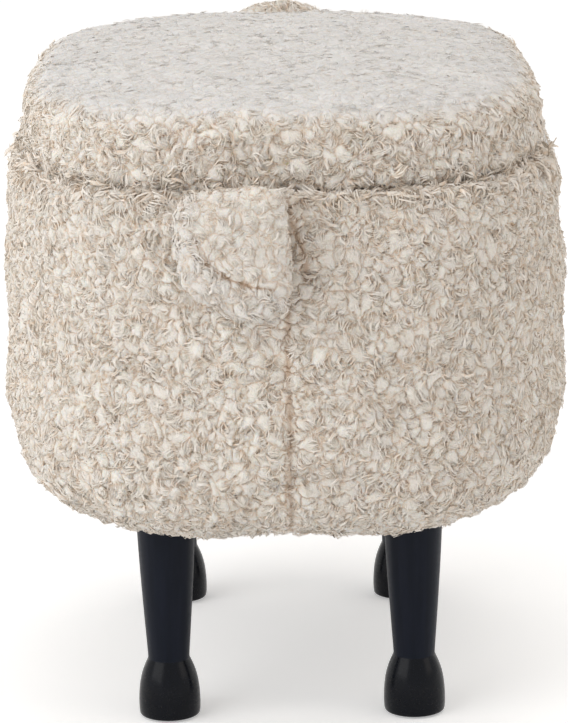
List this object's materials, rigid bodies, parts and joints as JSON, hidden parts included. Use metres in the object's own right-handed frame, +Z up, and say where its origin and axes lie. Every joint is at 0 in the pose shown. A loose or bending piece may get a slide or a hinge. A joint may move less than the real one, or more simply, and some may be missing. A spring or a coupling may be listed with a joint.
{
  "type": "animal storage footstool",
  "caption": "Sheep-shaped footstool: a padded storage box in curly cream pile with a hinged seat lid, a sewn tail, a stuffed dark head and turned black legs ending in hooves.",
  "frame": {"origin": "on the floor, under the centre of the whole stool's bounding box", "axes": "+Z up, +Y towards the sheep's head, +X to its right side, where the lid hinges; the tail is at -Y"},
  "size_m": [0.35, 0.5824, 0.3986],
  "materials": {
    "wool": "matte",
    "face_cloth": "matte",
    "foam": "matte",
    "filling": "matte",
    "board": "matte",
    "black_cloth": "matte",
    "black_paint": "satin",
    "steel": "satin",
    "felt": "matte",
    "eye_plastic": "gloss"
  },
  "bodies": {
    "stool": {"base_board": "board", "body_cover": "wool", "body_foam": "foam", "dust_cover": "black_cloth", "ear_left": "face_cloth", "ear_right": "face_cloth", "eye_left": "eye_plastic", "eye_right": "eye_plastic", "eye_washer_left": "eye_plastic", "eye_washer_right": "eye_plastic", "foot_pad_head_left": "felt", "foot_pad_head_right": "felt", "foot_pad_tail_left": "felt", "foot_pad_tail_right": "felt", "head_cover": "face_cloth", "head_filling": "filling", "head_hood": "wool", "head_wall": "board", "hinge_1_pin": "steel", "hinge_1_rim_leaf": "steel", "hinge_1_screw_1_rim": "steel", "hinge_1_screw_2_rim": "steel", "hinge_2_pin": "steel", "hinge_2_rim_leaf": "steel", "hinge_2_screw_1_rim": "steel", "hinge_2_screw_2_rim": "steel", "left_wall": "board", "leg_bolt_head_left": "steel", "leg_bolt_head_right": "steel", "leg_bolt_tail_left": "steel", "leg_bolt_tail_right": "steel", "leg_head_left": "black_paint", "leg_head_right": "black_paint", "leg_tail_left": "black_paint", "leg_tail_right": "black_paint", "right_wall": "board", "rim_frame": "board", "storage_lining": "black_cloth", "tail_cover": "wool", "tail_filling": "filling", "tail_wall": "board", "tee_nut_head_left": "steel", "tee_nut_head_right": "steel", "tee_nut_tail_left": "steel", "tee_nut_tail_right": "steel"},
    "lid": {"hinge_1_lid_leaf": "steel", "hinge_1_screw_1_lid": "steel", "hinge_1_screw_2_lid": "steel", "hinge_2_lid_leaf": "steel", "hinge_2_screw_1_lid": "steel", "hinge_2_screw_2_lid": "steel", "lid_board": "board", "lid_cover": "wool", "lid_foam": "foam", "lid_lining": "black_cloth"}
  },
  "joints": [
    {"name": "lid_hinge", "type": "hinge", "parent": "stool", "child": "lid", "pos_m": [0.16, -0.04522, 0.34545], "axis": [0, 1, 0], "range_deg": [0, 95]}
  ]
}
